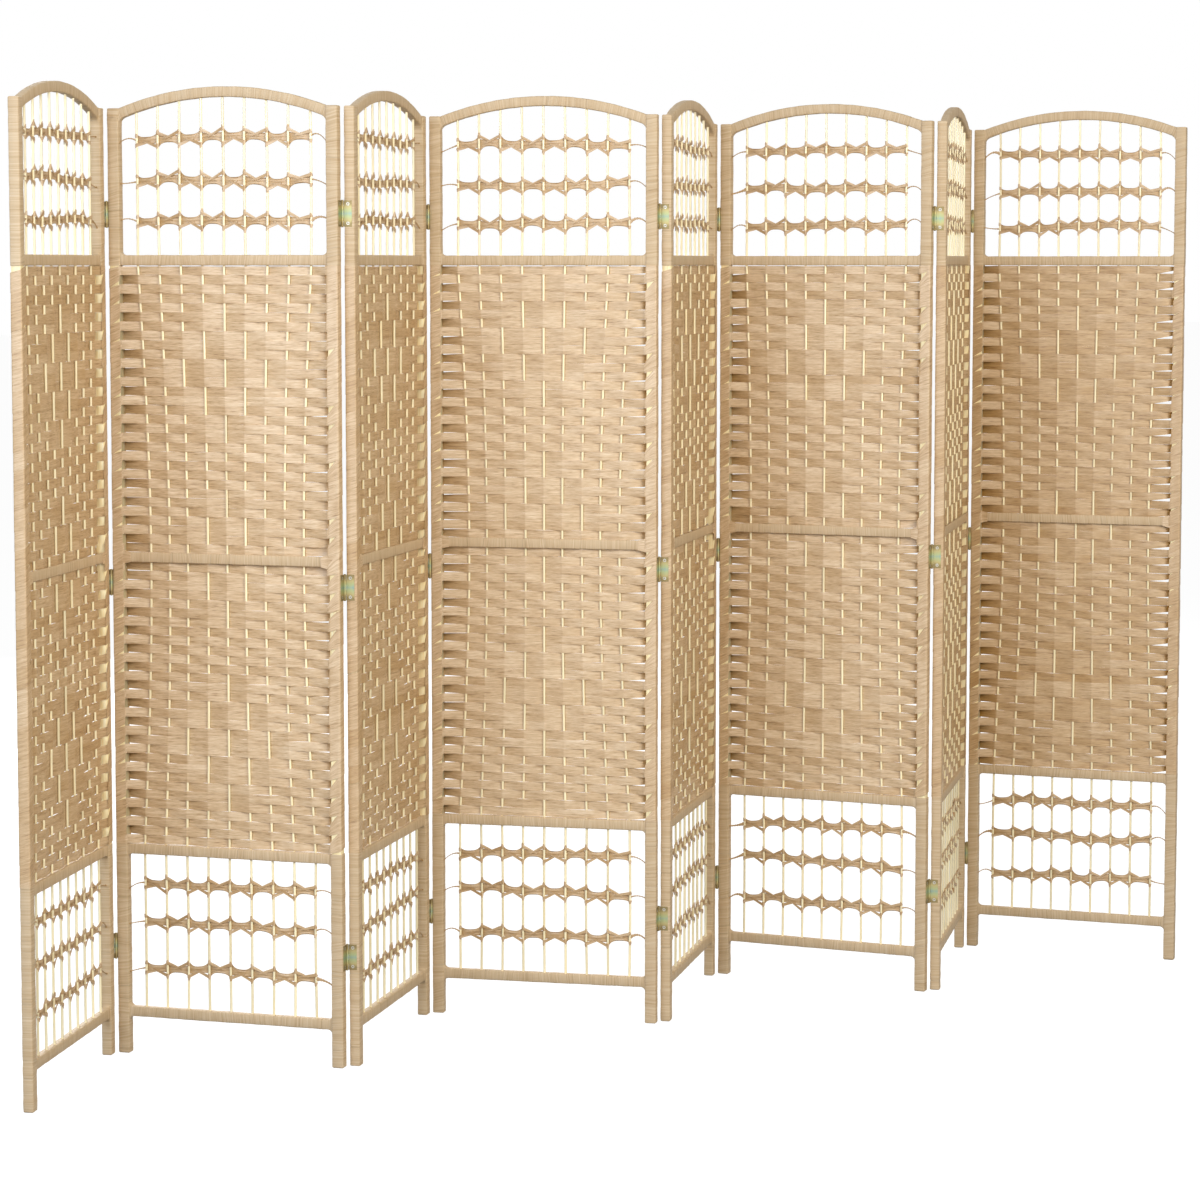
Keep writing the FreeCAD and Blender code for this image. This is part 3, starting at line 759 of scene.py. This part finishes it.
def round_post(rng, side, path, middle, half, tones):
    """Ribbons along a plan path round a post: z = middle +- half height, laid in by a crumple."""
    path_x, path_y, inward, length = path
    count, stations = middle.shape
    across, face = ribbon_loop(RIBBON_ACROSS)
    edge = EDGE_WANDER * wander(rng, count, stations, 9)
    z = middle[..., None] + (half + edge)[..., None] * across
    crumple = WRAP_CRUMPLE * (1 + wander(rng, count, stations, 8))[..., None] * (1 + 0.5 * across)
    depth = crumple + np.where(face < 0, 0, WRAP_THICKNESS)
    x, y = (place[:, None] + depth * inner[:, None] for place, inner in zip((path_x, path_y), inward))
    if side == 1:
        x = PANEL_WIDTH - x
    tone = tones[:, None] + 0.5 * wander(rng, count, stations, 5)
    girth = np.arange(count)[:, None, None] * ROW_GRAIN_STEP + closed_ring(across) * ROW_PITCH
    return tubes(xyz(x, y, z), length[None, :, None] + rng.uniform(0, 9, (count, 1, 1)),
                 girth + rng.uniform(0, 9), tone[..., None])


def post_wraps(rng, side, fans, first_centre, row_tones_and_shade):
    """Every turn round one post. Its middle climbs a row along the path. One edge stays with the row, and the
    other fans out until it meets the next turn: its reach, in half rows, goes evenly from a fan to about 3.
    Some turns meet at once, and the others leave a corner bare."""
    rows = np.arange(-1, ROW_COUNT + 1)
    rows = rows[(rows + 1 - first_centre) % 2 == 1]
    path = wrap_path(WRAP_REACH, WRAP_LEAD, WRAP_DIP)
    length = path[-1]
    climb = -1 if side == 0 else 1
    fan = rng.uniform(*fans, (len(rows), 1))
    fan = np.where(rng.random((len(rows), 1)) < WRAP_CLOSED_SHARES[side], WRAP_FULL, fan)
    full = WRAP_FULL + WRAP_UNEVEN * rng.normal(0, 1, (len(rows), 1))
    from_edge = np.minimum(length - WRAP_LEAD, length[-1] - length)
    closed = np.clip(from_edge / (WRAP_CLOSE_SHARES[side] * POST_WIDTH), 0, 1)
    reach = np.where(length < 0.99 * WRAP_LEAD, 1, fan + (full - fan) * closed)
    middle = WEAVE_TOP - (rows[:, None] + 0.5) * ROW_PITCH + climb * ROW_PITCH * length / length[-1]
    edges = middle - climb * ROW_PITCH / 2, middle + climb * ROW_PITCH / 2 * reach
    low, high = np.clip([np.minimum(*edges), np.maximum(*edges)], WEAVE_BOTTOM, WEAVE_TOP)
    half = np.maximum((high - low) / 2, WRAP_LEAST)
    return round_post(rng, side, path, (low + high) / 2, half, row_tones_and_shade[rows % ROW_COUNT])


# %% [markdown]
# The middle rail is a batten before the weave. A wider strip laps over each of its ends, flares out on the post
# and goes round it, which ties the batten down.

# %% Lashings of the middle rail
LASH_INSET = 0.0001
LASH_LEAD = 0.015
LASH_FLARE = 0.0030


def batten_lash(rng, side):
    """The strip over one end of the batten: its half height eases from the batten's to the flare's."""
    path = wrap_path(LASH_INSET, LASH_LEAD)
    middle = np.full((1, len(path[-1])), MIDDLE_RAIL_Z + RAIL_HEIGHT / 2)
    half = RAIL_HEIGHT / 2 + LASH_FLARE * ease_between(0, LASH_LEAD, path[-1])[None]
    return round_post(rng, side, path, middle, half, np.zeros(1))


# %% [markdown]
# ## Tied bands
# Each lattice has three bands of strip that are tied from rod to rod. The strip spreads at a rod, where the
# rod shows through its middle, and draws in to a waist between rods. On one side of each waist the edge is a
# smooth arch, and on the other side a second strand crosses from tip to tip in a V.

# %% Bands and their threads
UPPER_BANDS = (0.25, 0.545, 0.86)
LOWER_BANDS = (0.26, 0.555, 0.81)
KNOT_HALF = 0.0165
END_KNOT_SHARE = 0.68
WAIST_HALF = 0.0060
BAND_AT_ROD = 0.0031
STRAND_AT_ROD = 0.0066
STRAND_AT_WAIST = 0.0030
STRAND_FRONT = 0.0009
STRAND_STAGGER = 0.0007
BAND_SAG = 0.0035
BAND_PLEAT = 0.0008
BAND_STEPS = np.linspace(0, 1, 12, endpoint=False)
BAND_ACROSS = np.array([-1, -0.72, -0.4, 0, 0.4, 0.72, 1])
STRAND_ACROSS = np.array([-1, 0, 1])
TIE_SHARES = (0.52, 1.16)
TIE_RADII = (0.0031, 0.0022)
TIE_SWEEPS = (125, 24)
TIE_AIM = 30
TIE_ACROSS = np.linspace(-1, 1, 6)
TIE_STATIONS = 5
TIE_SCATTER = 0.0012
THREAD_RADIUS = 0.0010
THREAD_RING = 6
THREAD_STATIONS = 14
THREAD_RISE = 0.010
FLAT_THREAD_SHARE = 0.3
FLAT_THREAD_WIDTH = 2.4
THREAD_DROPS = (-0.016, 0.004)
THREAD_BACK = 0.002
PLEATS = 3.5 * np.pi
# Tones of the bands' parts: bodies, strands and ties are deep partly as painted shade of their folds, and
# threads are darker still.
BODY_TONE_AND_SHADE, STRAND_TONE_AND_SHADE, TIE_TONE_AND_SHADE, THREAD_TONE = -1.2, -0.7, -0.9, -3.0


def band_heights():
    """Height of each band's middle, in the upper lattice and then in the lower one."""
    lattices = ((UPPER_RAIL_Z, UPPER_LATTICE, UPPER_BANDS), (LEG_HEIGHT, LOWER_LATTICE, LOWER_BANDS))
    return np.array([z + RAIL_HEIGHT + tall * share for z, tall, shares in lattices for share in shares])


def band_lines(rng, bows):
    """Plan stations of every band, its wandering middle height, and its half height at the rods."""
    heights = band_heights()
    spans, steps = ROD_COUNT - 1, len(BAND_STEPS)
    knots_x = rod_line(bows, heights).T
    x = (knots_x[:, :-1, None] + np.diff(knots_x)[..., None] * BAND_STEPS).reshape(len(heights), -1)
    x = np.concatenate([x, knots_x[:, -1:]], 1)
    line = heights[:, None] + BAND_SAG * wander(rng, len(heights), x.shape[1], 5)
    line += BAND_SAG * rng.normal(0, 1, (len(heights), 1)) * (x - PANEL_WIDTH / 2) / INNER_WIDTH
    shares = rng.uniform(0.88, 1.1, (len(heights), ROD_COUNT))
    shares[:, [0, -1]] = END_KNOT_SHARE
    place = np.arange(x.shape[1]) / steps
    knot = KNOT_HALF * np.stack([np.interp(place, np.arange(ROD_COUNT), row) for row in shares])
    return x, line, knot, np.append(np.tile(np.abs(2 * BAND_STEPS - 1), spans), 1.0)


def band_body(rng, x, line, knot, c, v_above):
    """The band itself: its half height at c (1 at a rod, 0 at a waist) is waist + (knot - waist) c^3.2 on the
    smooth side, and less on the other side, where the strands fill the corner."""
    smooth = WAIST_HALF + (0.96 * knot - WAIST_HALF) * c ** 3.2
    short = WAIST_HALF + (0.5 * knot - WAIST_HALF) * c ** 1.2
    across, face = ribbon_loop(BAND_ACROSS)
    above, below = np.where(v_above, short, smooth), np.where(v_above, smooth, short)
    offset = np.where(across > 0, above[..., None], below[..., None]) * across
    pleat = BAND_PLEAT * np.sin(PLEATS * across) * (1 - 0.7 * c)[:, None]
    y = BAND_AT_ROD * (c ** 2)[:, None] + pleat + face * STRIP_THICKNESS / 2
    # The body's tone deepens towards the rods, and painted shade darkens one slope of each pleat.
    tone = BODY_TONE_AND_SHADE - 0.9 * c ** 3 + 0.6 * wander(rng, len(x), x.shape[1], 24)
    tone = tone[..., None] - 0.8 * np.cos(PLEATS * across) * (1 - c)[:, None]
    girth = np.arange(len(x))[:, None, None] * ROW_GRAIN_STEP + closed_ring(across) * WAIST_HALF
    return tubes(xyz(x[..., None], y, line[..., None] + offset), x[..., None] + 3.0, girth, tone)


def band_strands(rng, x, line, knot, c, v_above):
    """The strands that cross in a V: each runs from a tip at one rod, waist + (knot - waist) c, down past the
    waist, wide at its rod and narrow at its far end. The two of a V lie one before the other."""
    across, face = ribbon_loop(STRAND_ACROSS)
    steps, strands = len(BAND_STEPS), []
    for span in range(ROD_COUNT - 1):
        for start in (0, 1):
            place = np.arange(span * steps, (span + 1) * steps + 1)[:: 1 - 2 * start][: 2 * steps // 3 + 1]
            far = np.linspace(0, 1, len(place)) * 2 / 3
            side = 1 if v_above[place[1]] else -1
            tip = knot[:, place[:1]] * rng.uniform(0.96, 1.06, (len(x), 1))
            outer = WAIST_HALF + (tip - WAIST_HALF) * (1 - 2 * far)
            width = STRAND_AT_WAIST + (STRAND_AT_ROD - STRAND_AT_WAIST) * (1 - 1.5 * far)
            z = line[:, place, None] + side * (outer[..., None] - width[:, None] * (1 - across) / 2)
            depth = STRAND_FRONT + STRAND_STAGGER * start
            depth = depth + (BAND_AT_ROD - STRAND_FRONT) * np.clip(1 - 3 * far, 0, 1)
            y = -depth[:, None] + face * STRIP_THICKNESS / 2
            # Painted shade: each strand is darker at its inner edge than at its outer one.
            tone = STRAND_TONE_AND_SHADE - 1.6 * rng.random((len(x), 1, 1)) + 0.8 * across
            girth = closed_ring(across) * STRAND_AT_ROD / 2 + (2 * span + start) * ROW_GRAIN_STEP
            strands.append(tubes(xyz(x[:, place, None], y, z), x[:, place, None] + 5.0, girth, tone))
    return strands


def rod_ties(rng, x, line, knot):
    """The strip's tips on the front of each rod, above and below its bare middle: each is a crescent from -A
    to A about the rod's front, and A shrinks from the root to the tip."""
    rods_at = np.arange(ROD_COUNT) * len(BAND_STEPS)
    share = np.linspace(*TIE_SHARES, TIE_STATIONS)
    sweep = np.radians(np.linspace(*TIE_SWEEPS, TIE_STATIONS))
    turn = np.concatenate([TIE_ACROSS, TIE_ACROSS[::-1]])
    radius = np.repeat(TIE_RADII, len(TIE_ACROSS))
    leaves = []
    for sign in (-1, 1):
        z = line[:, rods_at, None] + sign * knot[:, rods_at, None] * share
        z = (z + TIE_SCATTER * rng.uniform(-1, 1, z.shape[:2])[..., None]).reshape(-1, TIE_STATIONS, 1)
        aim = np.radians(TIE_AIM) * rng.uniform(-1, 1, (len(z), 1, 1))
        angle = aim + sweep[:, None] * turn
        middle = x[:, rods_at].reshape(-1, 1, 1)
        points = xyz(middle + radius * np.sin(angle), -radius * np.cos(angle), z)
        # Painted light and shade: each tip is lighter on the right of the rod and darker on the left.
        tone = TIE_TONE_AND_SHADE + 0.7 * rng.normal(0, 1, (len(z), 1, 1)) + 0.6 * turn
        girth = closed_ring(turn) * TIE_RADII[0]
        leaves.append(tubes(points, z + np.arange(len(z))[:, None, None], girth, tone))
    return leaves


def band_threads(rng, x, line):
    """Twisted threads from the end rods to the posts: a parabola that rises by 4 q (1 - q) times its rise.
    Some are left flat, taller than they are deep."""
    q = np.linspace(0, 1, THREAD_STATIONS)
    starts = np.stack([np.concatenate([x[:, 0], x[:, -1]]), np.concatenate([line[:, 0], line[:, -1]])], -1)
    count = len(x)
    post_x = np.repeat([POST_WIDTH, RIGHT_EDGE], count)
    end_z = starts[:, 1] + rng.uniform(*THREAD_DROPS, 2 * count)
    path_x = starts[:, :1] + (post_x - starts[:, 0])[:, None] * q
    rise = THREAD_RISE * rng.uniform(-0.2, 1.0, (2 * count, 1))
    path_z = starts[:, 1:] + (end_z - starts[:, 1])[:, None] * q + rise * 4 * q * (1 - q)
    radius = THREAD_RADIUS * (1 + 1.2 * (1 - q) ** 4 + 0.9 * q ** 12) * (1 + 0.25 * np.sin(14 * np.pi * q))
    flat = np.where(rng.random((2 * count, 1)) < FLAT_THREAD_SHARE, FLAT_THREAD_WIDTH, 1.0)
    tall = radius * (1 + (flat - 1) * (1 - q) ** 0.5)
    angle, ring = circle(THREAD_RING)
    points = xyz(path_x[..., None], -THREAD_BACK * q[:, None] + radius[:, None] * np.cos(ring),
                 path_z[..., None] + tall[..., None] * np.sin(ring))
    tone = THREAD_TONE + 1.6 * (1 - q)[None, :, None]
    return tubes(points, path_x[..., None] + 7.0, angle * THREAD_RADIUS, tone)


def tied_bands(rng, bows):
    """All bands of a panel: bodies, strands, ties and threads. The V is above in every second span."""
    x, line, knot, c = band_lines(rng, bows)
    span = np.minimum(np.arange(x.shape[1]) // len(BAND_STEPS), ROD_COUNT - 2)
    v_above = span % 2 == 1
    return [band_body(rng, x, line, knot, c, v_above), *band_strands(rng, x, line, knot, c, v_above),
            *rod_ties(rng, x, line, knot), band_threads(rng, x, line)]


# %% [markdown]
# ## The panels
# Each panel has its own seed, so all eight differ a little and every run gives the same screen. Each piece
# rides on its panel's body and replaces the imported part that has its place.

# %% Put every panel together
FIRST_SEED = 40
for panel in range(PANEL_COUNT):
    rng = np.random.default_rng(FIRST_SEED + panel)
    centre = FIRST_CENTRE_ROWS[panel]
    bows = rod_bows(rng, panel)
    make_piece("bamboo_rods", panel, [rods(rng, bows)], [BAMBOO], "rods")
    make_piece("left_wound_post", panel, post(rng, 0), [CORD, WOOD], "left_post")
    make_piece("right_wound_post", panel, post(rng, 1), [CORD, WOOD], "right_post")
    make_piece("wound_rails", panel, rails(rng), [CORD], "rails")
    # Each row's tone: its panel's painted shade plus a random spread of its own.
    row_tones_and_shade = PANEL_PAINTED_SHADES[panel] + ROW_TONE_SPREAD * rng.normal(0, 1, ROW_COUNT)
    woven = [weave_rows(rng, bows, centre, row_tones_and_shade, END_SLITS[panel])]
    for side, kind in enumerate(("left", "last" if panel == PANEL_COUNT - 1 else "right")):
        woven += [post_wraps(rng, side, WRAP_FANS[kind], centre, row_tones_and_shade), batten_lash(rng, side)]
    make_piece("woven_strip", panel, woven, [STRIP], "weave")
    make_piece("tied_bands", panel, tied_bands(rng, bows), [STRIP], "weave")
print("panels made", PANEL_COUNT)

# %% [markdown]
# ## Hinges
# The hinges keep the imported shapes. Yellow zinc plate is a metal with faint bands of olive and green that
# follow the height within each plate. The screws' heads are bright steel, so each packed screw gets a low dome
# with a cross recess.

# %% Zinc finish for the hinges
HINGE_HEIGHTS = np.array([POST_HEIGHT * share for share in (0.116, 0.5045, 0.89)])
HINGE_HALF = 0.0235


def zinc_plate():
    """Yellow zinc: the colour follows the distance from the nearest hinge's middle, with some noise."""
    material, shader, add = finish("zinc_plate", 0.5, 0.5)
    shader.inputs["Metallic"].default_value = 0.75
    place = add("ShaderNodeTexCoord").outputs["Object"]
    height = add("ShaderNodeSeparateXYZ", {0: place}).outputs[2]
    gaps = [worked(add, "ABSOLUTE", worked(add, "SUBTRACT", height, z)) for z in HINGE_HEIGHTS]
    nearest = worked(add, "MINIMUM", gaps[2], worked(add, "MINIMUM", gaps[0], gaps[1]))
    share = worked(add, "DIVIDE", nearest, HINGE_HALF)
    share = worked(add, "MULTIPLY_ADD", streaks(add, place, 160.0, 160.0, 2.0), 0.5, share)
    colour = blend_colours(add, share, [(0.20, (0.26, 0.34, 0.28)), (0.45, (0.36, 0.39, 0.20)),
                                        (0.75, (0.42, 0.35, 0.16)), (1.0, (0.26, 0.20, 0.09))])
    connect(shader, "Base Color", colour)
    return material


def bright_steel():
    """Plain steel of the screws: darker where the tone is low, which is painted shade in the recess and at the
    rim.
    """
    material, shader, add = finish("bright_steel", 0.38, 0.5)
    shader.inputs["Metallic"].default_value = 0.8
    fine = streaks(add, add("ShaderNodeTexCoord").outputs["Object"], 900.0, 900.0)
    colour = blend_colours(add, fine, [(0.35, (0.50, 0.50, 0.47)), (0.65, (0.62, 0.62, 0.58))])
    connect(shader, "Base Color", toned(add, colour, (0.90, 0.90, 0.90)))
    return material


ZINC, STEEL = zinc_plate(), bright_steel()
for name, node in frame["nodes"].items():
    if "hinge" in name:
        for holder in node.material_slots:
            holder.material = ZINC
print("hinge nodes", sum("hinge" in name for name in frame["nodes"]))

# %% Domed heads of the hinge screws
LEAF_THICKNESS = 0.0012
LEAF_COVER = 0.015
SCREW_SPACING = 0.0346
SCREW_HEAD_RADIUS = 0.0032
SCREW_DOME = 0.0002
RECESS_DEPTH = 0.0008
RECESS_ARM = 0.75
RECESS_MIDDLE = 0.34
HEAD_RINGS = np.array([0.0, 0.3, 0.42, 0.6, 0.75, 0.93, 1.0])
HEAD_AROUND = 24


def screw_heads(panel):
    """Domes on the leaves: rise = dome (1 - r^2) less a cross recess, (1 - r/arm)^0.5 cos^4(2a) or 1 within
    the middle third, with r from 0 to 1."""
    spots = []
    for fold, face_x, outward in ((panel - 1, 0.0, -1), (panel, PANEL_WIDTH, 1)):
        if 0 <= fold < len(folds):
            y = pivot_sides[fold] * (POST_DEPTH / 2 - LEAF_COVER / 2)
            spots += [(face_x + outward * LEAF_THICKNESS, outward, y, z + end * SCREW_SPACING / 2)
                      for z in HINGE_HEIGHTS for end in (-1, 1)]
    x, outward, y, z = (np.array(column)[:, None, None] for column in zip(*spots))
    turn = np.random.default_rng(panel).uniform(0, np.pi, x.shape)
    (angle, ring), r = circle(HEAD_AROUND), HEAD_RINGS[:, None]
    arms = np.clip(1 - r / RECESS_ARM, 0, 1) ** 0.5 * np.cos(2 * ring) ** 4
    recess = np.where(r < RECESS_MIDDLE, 1, arms)
    rise = SCREW_DOME * (1 - r ** 2) - RECESS_DEPTH * recess
    rise = np.where(r == 1, -LEAF_THICKNESS / 2, rise)
    spread = np.maximum(r, 0.02) * SCREW_HEAD_RADIUS
    points = xyz(x + outward * rise, y + spread * np.cos(ring + turn), z + spread * np.sin(ring + turn))
    # Painted shade in the cross recess and at the rim.
    tone = -0.9 * recess - 0.3 * r ** 6
    return tubes(points, r * SCREW_HEAD_RADIUS, angle * SCREW_HEAD_RADIUS, tone)


for panel in range(PANEL_COUNT):
    make_piece("screw_heads", panel, [screw_heads(panel)], [STEEL], None)
print("screw heads made")

# %% [markdown]
# ## Floor, light and camera
# The floor and the surroundings are white where the camera, a mirror or glass sees them, and the floor keeps
# a faint shadow. Only a part of that white lights the screen, so that its own lamps model the weave.

# %% Floor and surroundings
FLOOR_GLOW = 0.90
FLOOR_SHADE = 0.30
FLOOR_BOUNCE = 0.15


def seen_directly(add):
    """1 for a ray from the camera, off a gloss or through a clear thing, and otherwise 0."""
    path = add("ShaderNodeLightPath").outputs
    most = path["Is Camera Ray"]
    for other in ("Is Glossy Ray", "Is Transmission Ray"):
        most = worked(add, "MAXIMUM", most, path[other])
    return most


def grey(value):
    """A grey from its value."""
    return value, value, value, 1


def white_floor():
    """A pale floor that keeps shadows: plain diffuse white, lifted to white where it is seen directly."""
    material = bpy.data.materials.new("studio_floor")
    material.use_nodes = True
    material.node_tree.nodes.clear()
    add = node_adder(material.node_tree)
    plain = add("ShaderNodeBsdfDiffuse", {"Color": grey(FLOOR_BOUNCE)})
    shade = add("ShaderNodeBsdfDiffuse", {"Color": grey(FLOOR_SHADE)})
    glow = add("ShaderNodeEmission", {"Strength": FLOOR_GLOW})
    lifted = add("ShaderNodeAddShader", {0: glow.outputs[0], 1: shade.outputs[0]})
    mix = add("ShaderNodeMixShader", {0: seen_directly(add), 1: plain.outputs[0], 2: lifted.outputs[0]})
    add("ShaderNodeOutputMaterial", {0: mix.outputs[0]})
    return material


FLOOR_SIZE = 60.0
floor_mesh = bpy.data.meshes.new("floor")
ends = (-FLOOR_SIZE, FLOOR_SIZE)
floor_mesh.from_pydata([(x, y, 0) for y in ends for x in ends], [], [(0, 1, 3, 2)])
floor_mesh.materials.append(white_floor())
floor = add_object("floor", floor_mesh)

AMBIENT = 0.25
world = bpy.data.worlds.new("studio")
bpy.context.scene.world = world
world.use_nodes = True
add = node_adder(world.node_tree)
background = world.node_tree.nodes["Background"]
background.inputs["Color"].default_value = grey(1)
strength = add("ShaderNodeMapRange", {"Value": seen_directly(add), "To Min": AMBIENT, "To Max": 1.0})
connect(background, "Strength", strength.outputs[0])
print("floor and surroundings made")

# %% [markdown]
# The camera stands where the photograph was taken from: its place was fitted to the panels' corners there.

# %% Camera at the photograph's place
CAMERA_PLACE = (-3.1896, -5.5392, 1.4651)
CAMERA_AZIMUTH = math.radians(29.75)
CAMERA_PITCH = math.radians(4.994)
LENS_PER_WIDTH = 2.744
LENS_SHIFT = -0.04
camera_data = bpy.data.cameras.new("camera")
camera_data.sensor_width = 36.0
camera_data.lens = LENS_PER_WIDTH * camera_data.sensor_width
camera_data.shift_y = LENS_SHIFT
camera = add_object("camera", camera_data)
camera.location = CAMERA_PLACE
camera.rotation_euler = (math.pi / 2 - CAMERA_PITCH, 0, -CAMERA_AZIMUTH)
bpy.context.scene.camera = camera
print("camera at", CAMERA_PLACE)

# %% [markdown]
# A broad soft lamp stands to the left of the camera, because the satin strip shines only where it faces that
# side. A second lamp from the right lights the panels that turn away, and a third one lights the back.

# %% Lamps, placed from the camera's side
COOL, WARM, WHITE = (0.93, 1.01, 1.14), (1.0, 0.94, 0.82), (1.0, 1.0, 1.0)
AIM_X = -0.6
VIEW_ALONG = np.array([math.sin(CAMERA_AZIMUTH), math.cos(CAMERA_AZIMUTH)])
VIEW_RIGHT = np.array([math.cos(CAMERA_AZIMUTH), -math.sin(CAMERA_AZIMUTH)])


def soft_lamp(name, right, ahead, height, aim_height, wide, tall, watts, colour):
    """A lamp at a place to the right of and ahead of the camera, aimed a little left of the middle."""
    data = bpy.data.lights.new(name, "AREA")
    data.shape = "RECTANGLE"
    data.size, data.size_y, data.energy = wide, tall, watts
    data.color = colour
    lamp = add_object(name, data)
    plan = np.array(CAMERA_PLACE[:2]) + right * VIEW_RIGHT + ahead * VIEW_ALONG
    lamp.location = (*plan, height)
    aim = Vector((AIM_X, 0, aim_height)) - lamp.location
    lamp.rotation_euler = aim.to_track_quat("-Z", "Y").to_euler()
    lamp.visible_camera = False


soft_lamp("key", -2.2, 2.4, 2.7, 1.4, 3.0, 2.4, 128, COOL)
soft_lamp("side_fill", 2.4, 2.4, 2.4, 1.3, 2.6, 2.2, 164, WARM)
soft_lamp("back_fill", -2.9, 11.1, 2.6, 1.0, 4.0, 3.0, 240, WHITE)
bpy.context.scene.view_settings.view_transform = "Standard"
